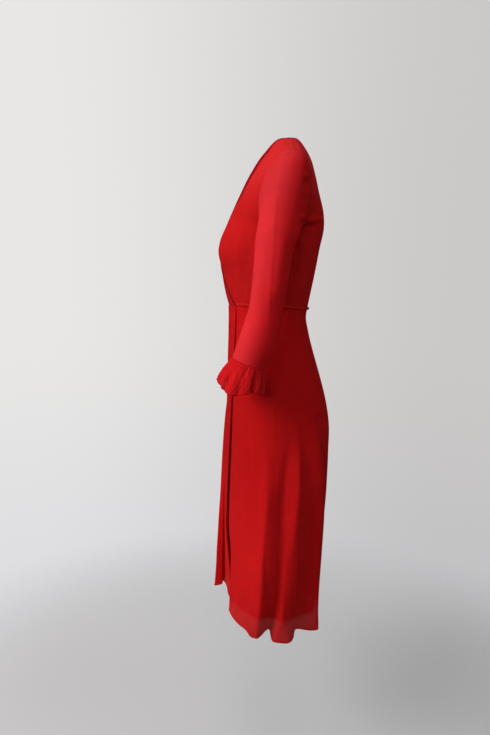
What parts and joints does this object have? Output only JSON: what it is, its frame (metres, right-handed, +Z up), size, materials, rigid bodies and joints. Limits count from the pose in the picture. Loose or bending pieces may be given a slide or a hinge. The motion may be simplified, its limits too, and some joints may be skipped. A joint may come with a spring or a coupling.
{
  "type": "wrap dress",
  "caption": "Hollow worn form of a long-sleeved V-neck wrap dress in thin cloth, with a tied waist, gathered cuff ruffles and a swinging overlapped skirt over a lining.",
  "frame": {"origin": "midway between the two points where the neck meets the shoulder seams, at the height at which the shoulders carry the dress", "axes": "+Z up, -Y the front of the dress, +X the wearer's left"},
  "size_m": [0.5428, 0.2758, 1.0981],
  "materials": {
    "crepe": "soft matt georgette over an opaque lining",
    "sheer": "single layer of sheer matt georgette",
    "trim": "doubled georgette, pressed and edge stitched",
    "lining": "plain smooth lining cloth"
  },
  "bodies": {
    "root": {"bodice_back": "crepe", "bodice_left_front": "crepe", "bodice_right_front": "crepe", "cuff_ruffle_left": "sheer", "cuff_ruffle_right": "sheer", "lining_back": "lining", "lining_left_front": "lining", "lining_right_front": "lining", "neck_band_back": "trim", "neck_band_left": "trim", "neck_band_right": "trim", "skirt_back": "crepe", "skirt_left_front": "crepe", "skirt_right_front": "crepe", "sleeve_left": "sheer", "sleeve_right": "sheer", "tie_end_back": "trim", "tie_end_front": "trim", "tie_knot": "trim", "waist_tie": "trim"}
  },
  "joints": []
}
